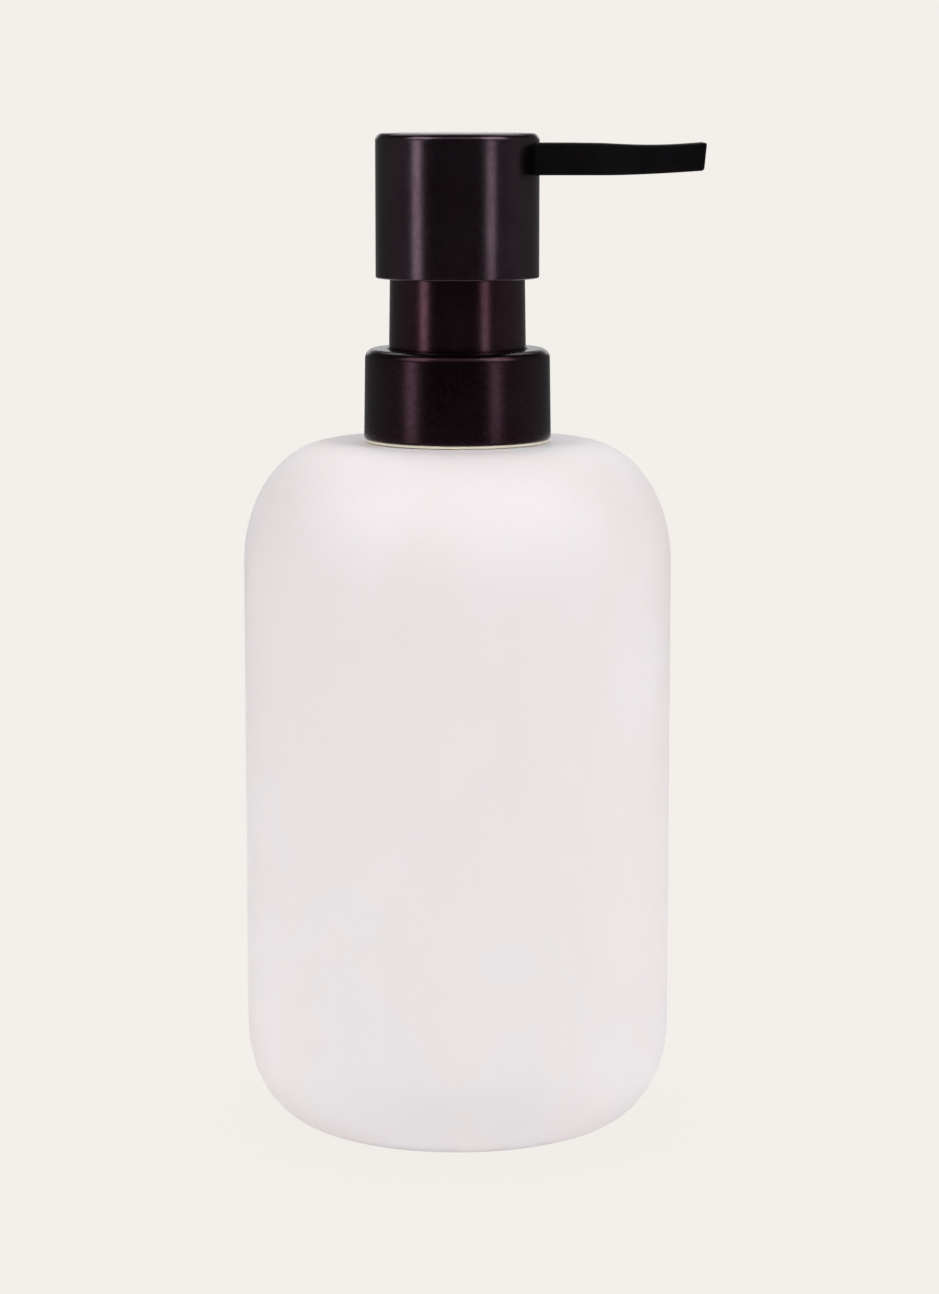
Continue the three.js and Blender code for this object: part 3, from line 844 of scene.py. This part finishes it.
def spout_bar():
    """Rounded-rectangle section swept along the bar. Its upper edge dips and lifts again towards the slanted
    tip, and its lower edge rises there."""
    tip_slant = 0.55 * MM
    rise, rise_power = 0.8 * MM, 1.6
    swell, dip, lift = 0.1 * MM, 0.3 * MM, SPOUT_TIP_TOP - SPOUT_HIGH
    stations = 28

    def section(share):
        """The four corners of the section this far along the bar."""
        inner_half = min(1.0, 2 * share)           # 0 to 1 over the half towards the head
        outer_half = max(0.0, 2 * share - 1)       # 0 to 1 over the half towards the tip
        bottom = SPOUT_LOW + rise * outer_half ** rise_power
        top = SPOUT_HIGH + swell * math.sin(math.pi * inner_half)
        top += lift * outer_half ** 3 - dip * math.sin(math.pi * outer_half)
        places = []
        for y, z in ((-SPOUT_HALF, bottom), (SPOUT_HALF, bottom), (SPOUT_HALF, top), (-SPOUT_HALF, top)):
            slant = tip_slant * share * (SPOUT_TIP_TOP - z) / (SPOUT_TIP_TOP - SPOUT_LOW)
            places.append((SPOUT_ROOT + (SPOUT_TIP - SPOUT_ROOT) * share - slant, y, z))
        return places

    bm = bmesh.new()
    skin(bm, [[bm.verts.new(place) for place in section(k / stations)] for k in range(stations + 1)])
    bar = mesh_object("spout_bar", bm)
    bevel = bar.modifiers.new("edges", "BEVEL")
    bevel.width, bevel.segments = 0.45 * MM, 4
    bevel.limit_method, bevel.angle_limit = "ANGLE", math.radians(40)
    baked(bar)
    return cut(bar, rod_along_x("bore", SPOUT_ROOT - MM, SPOUT_TIP + MM, SPOUT_BORE_Z, SPOUT_BORE))


# ---------------------------------------------------------------- the pieces, body by body

dressed(bottle(), STONE, "bottle", "stone", "bottle_body")
dressed(base_disc(), STONE, "bottle", "stone", "base_plug")
dressed(foot_pad(), FOAM, "bottle", "foam", "base_pad")
dressed(neck_bush(), CREAM, "bottle", "cream_plastic", "neck_insert")

dressed(threaded_cap(), INNER, "closure", "inner_plastic", "closure_cap")
dressed(collar_overlay(), COLLAR_PLUM_SHADED, "closure", "plum_metal", "collar_shell")

dressed(neck_ring_seal(), FOAM, "pump_body", "foam", "neck_gasket")
dressed(pump_cylinder(), NATURAL, "pump_body", "natural_plastic", "pump_housing")
dressed(stem_guide_tower(), INNER, "pump_body", "inner_plastic", "chaplet")
dressed(sleeve_overlay(), SLEEVE_PLUM, "pump_body", "plum_metal", "sleeve_shell")
dressed(soap_tube(), NATURAL, "pump_body", "natural_plastic", "dip_tube")
dressed(ball_cage(), NATURAL, "pump_body", "natural_plastic", "ball_retainer")
dressed(inlet_ball(), STEEL, "check_ball", "steel", "check_ball")

# The real spring stays on its seat and shortens by the whole stroke; here the spring only gets a mesh of its
# own.
spring = dressed(coil_spring(), STEEL, "pump_body", "steel", "return_spring")
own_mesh(spring)

dressed(push_rod(), NATURAL, "valve_rod", "natural_plastic", "valve_rod")
dressed(piston_seal(), NATURAL, "piston", "natural_plastic", "piston")
dressed(hollow_stem(), INNER, "head", "inner_plastic", "stem")
dressed(head_core(), INNER, "head", "inner_plastic", "actuator")
dressed(head_overlay(), HEAD_PLUM, "head", "plum_metal", "head_shell")
dressed(spout_bar(), BLACK, "head", "black_plastic", "spout")


# ---------------------------------------------------------------- stage, light and camera

BACKGROUND = (0.896, 0.863, 0.823)
FLOOR_RADIUS = 0.5
FLOOR_DROP = 0.1 * MM          # below the part's underside, so that the two faces don't coincide
FLOOR_BOUNCE = 0.86            # share of the light on the floor that it gives back
FLOOR_GLOW = 0.165             # light of its own, which fills the lower part of the object
CONTACT_SHADE = 0.975          # how pale the floor's shade is where something stands on it
SHADE_REACH = 30 * MM
TOUCHING = 2 * MM              # rays shorter than this pass the floor
LOBE = 4                       # the higher, the narrower each ambient light is round its direction
AMBIENT = (                    # the direction that each ambient light comes from, and its strength
    ((0, -1, 0), 0.155),
    ((0, 1, 0), 0.19),
    ((-1, 0, 0), 0.385),
    ((1, 0, 0), 0.435),
    ((0, 0, -1), 1.20),
)


def floor():
    """A pale disc that melts into the backdrop, with a faint shade where something stands on it. It is clear
    from below and to rays shorter than TOUCHING, so the light from below reaches the object's foot."""
    bm = bmesh.new()
    bmesh.ops.create_circle(bm, cap_ends=True, segments=96, radius=FLOOR_RADIUS)
    obj = mesh_object("studio_floor", bm)
    obj.location.z = -FLOOR_DROP
    material = bpy.data.materials.new("studio_floor")
    material.use_nodes = True
    t = Tree(material.node_tree)
    t.tree.nodes.clear()
    ray = t.add("ShaderNodeLightPath").outputs
    shade = t.add("ShaderNodeAmbientOcclusion")
    shade.samples = 8
    shade.inputs["Distance"].default_value = SHADE_REACH
    shaded = tuple(c * CONTACT_SHADE for c in BACKGROUND)
    seen = t.add("ShaderNodeEmission", t.mix(shade.outputs["AO"], shaded, BACKGROUND))
    bounce = t.add("ShaderNodeBsdfDiffuse")
    bounce.inputs["Color"].default_value = (FLOOR_BOUNCE, FLOOR_BOUNCE, FLOOR_BOUNCE, 1)
    glow = t.add("ShaderNodeEmission")
    glow.inputs["Strength"].default_value = FLOOR_GLOW
    lit = t.add("ShaderNodeAddShader", bounce.outputs[0], glow.outputs[0])
    surface = t.add("ShaderNodeMixShader", ray["Is Camera Ray"], lit.outputs[0], seen.outputs[0])
    from_below = t.add("ShaderNodeNewGeometry").outputs["Backfacing"]
    absent = t.math("MAXIMUM", t.math("LESS_THAN", ray["Ray Length"], TOUCHING), from_below)
    clear = t.add("ShaderNodeBsdfTransparent")
    either = t.add("ShaderNodeMixShader", absent, surface.outputs[0], clear.outputs[0])
    t.add("ShaderNodeOutputMaterial", either.outputs[0])
    obj.data.materials.append(material)


def world():
    """Pale where the camera sees it; as light, a soft lobe round each of AMBIENT's directions."""
    made = bpy.data.worlds.new("studio")
    bpy.context.scene.world = made
    made.use_nodes = True
    t = Tree(made.node_tree)
    t.tree.nodes.clear()
    towards = t.add("ShaderNodeTexCoord").outputs["Generated"]
    total = 0.0
    for direction, strength in AMBIENT:
        facing = t.add("ShaderNodeVectorMath", towards)
        facing.operation = "DOT_PRODUCT"
        facing.inputs[1].default_value = direction
        lobe = t.math("POWER", t.math("MAXIMUM", facing.outputs["Value"], 0.0), LOBE)
        total = t.math("MULTIPLY_ADD", lobe, strength, total)
    seen = t.add("ShaderNodeBackground")
    seen.inputs["Color"].default_value = (*BACKGROUND, 1)
    lit = t.add("ShaderNodeBackground")
    lit.inputs["Color"].default_value = (1, 1, 1, 1)
    t.tree.links.new(total, lit.inputs["Strength"])
    is_seen = t.add("ShaderNodeLightPath").outputs["Is Camera Ray"]
    either = t.add("ShaderNodeMixShader", is_seen, lit.outputs[0], seen.outputs[0])
    t.add("ShaderNodeOutputWorld", either.outputs[0])


def softbox(name, azimuth, elevation, distance, width, height, aim_z, radiance):
    """An area light that faces the axis at aim_z. Azimuth is counted from the camera's side, towards +X."""
    data = bpy.data.lights.new(name, "AREA")
    data.shape = "RECTANGLE"
    data.size, data.size_y = width, height
    data.energy = radiance * math.pi * width * height
    obj = bpy.data.objects.new(name, data)
    bpy.context.scene.collection.objects.link(obj)
    a, e = math.radians(azimuth), math.radians(elevation)
    away = Vector((math.cos(e) * math.sin(a), -math.cos(e) * math.cos(a), math.sin(e)))
    obj.location = Vector((0, 0, aim_z)) + distance * away
    obj.rotation_euler = away.to_track_quat("Z", "Y").to_euler()
    obj.visible_camera = False


def camera():
    """In front of the object, a little above its middle, looking slightly down and to the right."""
    data = bpy.data.cameras.new("camera")
    data.sensor_width = 36
    data.lens = 101.5
    data.clip_start, data.clip_end = 0.01, 20
    obj = bpy.data.objects.new("camera", data)
    bpy.context.scene.collection.objects.link(obj)
    obj.location = (0, -0.6375, 0.1822)
    down, aside = 0.1513, 0.0033
    obj.rotation_euler = (math.pi / 2 - down, 0, -aside)
    bpy.context.scene.camera = obj


floor()
world()
softbox("left_softbox", -58.5, 0, 0.9, 0.20, 0.38, 0.16, 4.2)
softbox("right_softbox", 47.5, 0, 0.9, 0.19, 0.38, 0.16, 3.05)
softbox("front_top_softbox", 0, 52, 0.95, 0.88, 0.51, 0.10, 1.25)
softbox("left_top_softbox", -60, 42, 0.95, 0.51, 0.51, 0.10, 4.7)
softbox("right_top_softbox", 60, 42, 0.95, 0.51, 0.51, 0.10, 5.8)
softbox("back_top_softbox", 180, 55, 1.3, 1.2, 0.8, 0.10, 2.1)
softbox("low_back_softbox", 180, 9, 1.3, 1.0, 0.24, 0.13, 1.1)
camera()
bpy.context.scene.view_settings.view_transform = "Standard"
